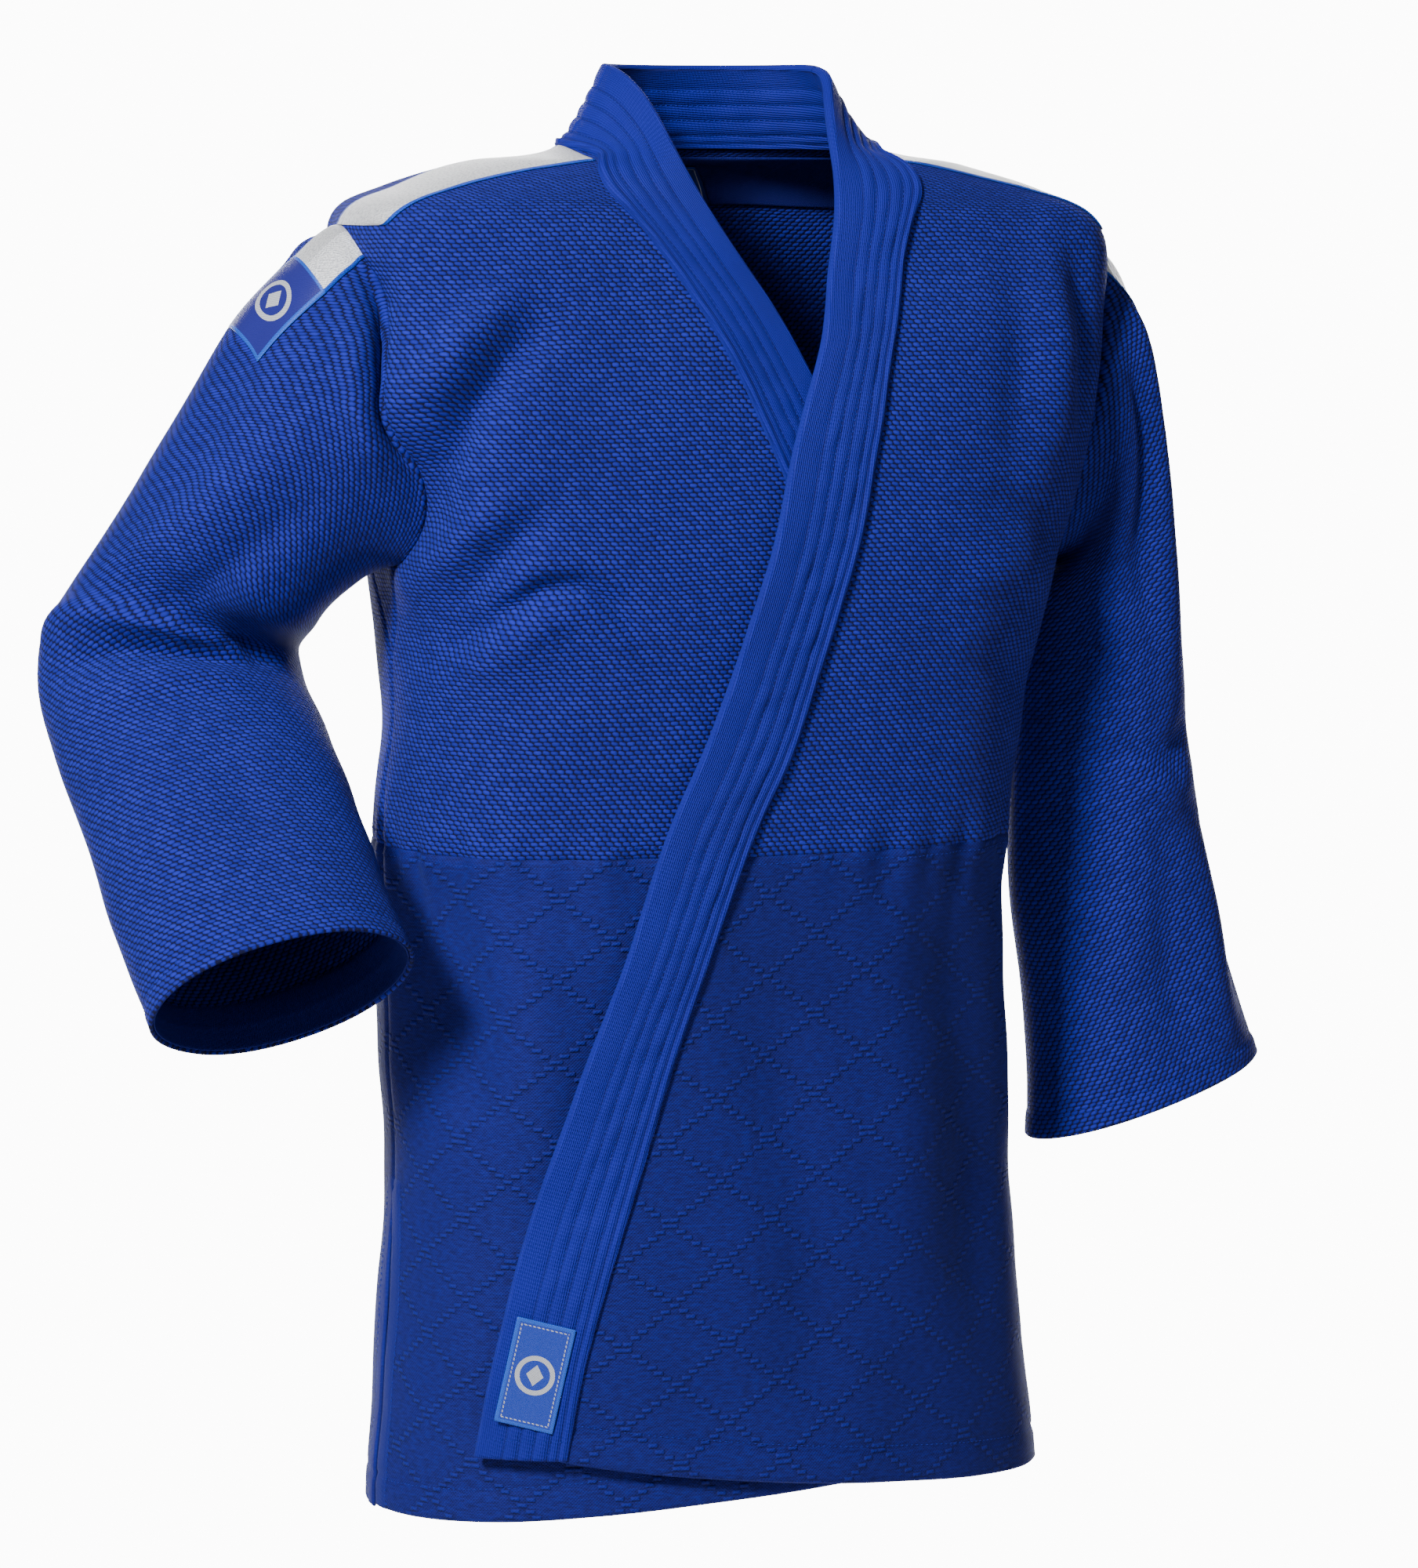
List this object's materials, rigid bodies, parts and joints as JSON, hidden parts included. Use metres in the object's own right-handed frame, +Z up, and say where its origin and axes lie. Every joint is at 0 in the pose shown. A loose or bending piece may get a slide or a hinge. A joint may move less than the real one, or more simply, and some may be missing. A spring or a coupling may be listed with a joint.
{
  "type": "judo jacket",
  "caption": "Hanging judo jacket with crossed fronts, quilted lapel, loose bent sleeves, side vents and sewn tapes and labels.",
  "frame": {"origin": "middle of the neck seam's height at the shoulder line, where a hanger or a wearer's shoulders carry the jacket", "axes": "+Z up, +X to the wearer's left, the front faces -Y"},
  "size_m": [0.7604, 0.2799, 0.8556],
  "materials": {
    "rice_grain_cloth": "matt rice-grain cotton weave",
    "diamond_cloth": "matt cotton with a diamond pattern of short floats",
    "lapel_twill": "matt cotton twill, stitched in rows",
    "lapel_core": "matt stiffening, hidden",
    "facing_twill": "matt cotton twill",
    "shoulder_tape": "shiny silver woven tape",
    "patch_satin": "satin with embroidery",
    "woven_label": "satin woven label"
  },
  "bodies": {
    "torso": {"back_body": "rice_grain_cloth", "back_skirt": "diamond_cloth", "left_front_body": "rice_grain_cloth", "right_front_body": "rice_grain_cloth", "right_front_skirt": "diamond_cloth", "left_underarm_gusset": "rice_grain_cloth", "right_underarm_gusset": "rice_grain_cloth", "yoke_lining": "facing_twill", "neck_label": "woven_label", "collar": "lapel_twill", "collar_core": "lapel_core", "left_lapel": "lapel_twill", "left_lapel_core": "lapel_core", "right_lapel": "lapel_twill", "right_lapel_core": "lapel_core", "left_shoulder_tape": "shoulder_tape", "right_shoulder_tape": "shoulder_tape", "left_vent_stay": "facing_twill", "right_vent_stay": "facing_twill", "right_front_vent_tape": "facing_twill"},
    "left_flap": {"left_front_skirt": "diamond_cloth", "left_lapel_tail": "lapel_twill", "left_lapel_tail_core": "lapel_core", "lapel_label": "woven_label", "left_front_vent_tape": "facing_twill"},
    "tail": {"back_tail": "diamond_cloth", "left_back_vent_tape": "facing_twill", "right_back_vent_tape": "facing_twill"},
    "left_upper_arm": {"left_upper_sleeve": "rice_grain_cloth", "left_elbow_bend": "rice_grain_cloth", "left_shoulder_patch": "patch_satin"},
    "left_forearm": {"left_forearm_sleeve": "rice_grain_cloth", "left_cuff_facing": "facing_twill"},
    "right_upper_arm": {"right_upper_sleeve": "rice_grain_cloth", "right_elbow_bend": "rice_grain_cloth", "right_shoulder_patch": "patch_satin"},
    "right_forearm": {"right_forearm_sleeve": "rice_grain_cloth", "right_cuff_facing": "facing_twill"}
  },
  "joints": [
    {"name": "right_shoulder", "type": "hinge", "parent": "torso", "child": "right_upper_arm", "pos_m": [-0.2363, 0, -0.0431], "axis": [0, 1, 0], "range_deg": [0, 60]},
    {"name": "right_elbow", "type": "hinge", "parent": "right_upper_arm", "child": "right_forearm", "pos_m": [-0.319, 0.072, -0.3], "axis": [-0.8725, -0.3918, 0.2918], "range_deg": [-40, 15], "deforming": ["right_elbow_bend"]},
    {"name": "left_shoulder", "type": "hinge", "parent": "torso", "child": "left_upper_arm", "pos_m": [0.2363, 0, -0.0511], "axis": [0, -1, 0], "range_deg": [0, 70]},
    {"name": "left_elbow", "type": "hinge", "parent": "left_upper_arm", "child": "left_forearm", "pos_m": [0.26, 0, -0.36], "axis": [-1, 0, 0], "range_deg": [0, 80], "deforming": ["left_elbow_bend"]},
    {"name": "front_flap", "type": "hinge", "parent": "torso", "child": "left_flap", "pos_m": [0.15, -0.055, -0.407], "axis": [0, 0, 1], "range_deg": [0, 50]},
    {"name": "tail_lift", "type": "hinge", "parent": "torso", "child": "tail", "pos_m": [-0.012, 0.121, -0.614], "axis": [1, 0, 0], "range_deg": [0, 35]}
  ]
}
